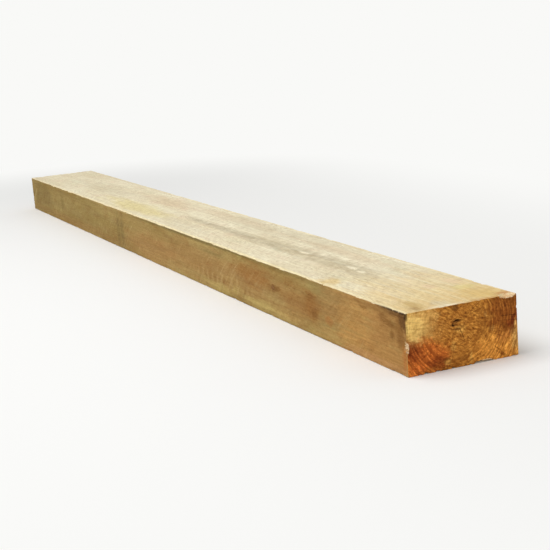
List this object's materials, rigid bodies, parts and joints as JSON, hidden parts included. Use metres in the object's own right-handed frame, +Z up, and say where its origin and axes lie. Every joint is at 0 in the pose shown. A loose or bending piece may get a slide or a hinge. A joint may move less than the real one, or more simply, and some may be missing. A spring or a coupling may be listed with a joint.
{
  "type": "railway sleeper",
  "caption": "Long softwood beam of flat rectangular section, sawn square from one log, with cracked end grain and wane on one corner, lying on a wide face.",
  "frame": {"origin": "middle of the bottom face's length and width, on the surface that the sleeper lies on", "axes": "+X along the sleeper to the end with the pith nearest the surface, +Y across its width, +Z up through its thickness"},
  "size_m": [2.4, 0.2, 0.1],
  "materials": {
    "sawn_softwood": "rough sawn, unplaned and dry, pale on the top, olive tan on the sides, with orange brown end grain"
  },
  "bodies": {
    "root": {"sleeper": "sawn_softwood"}
  },
  "joints": []
}
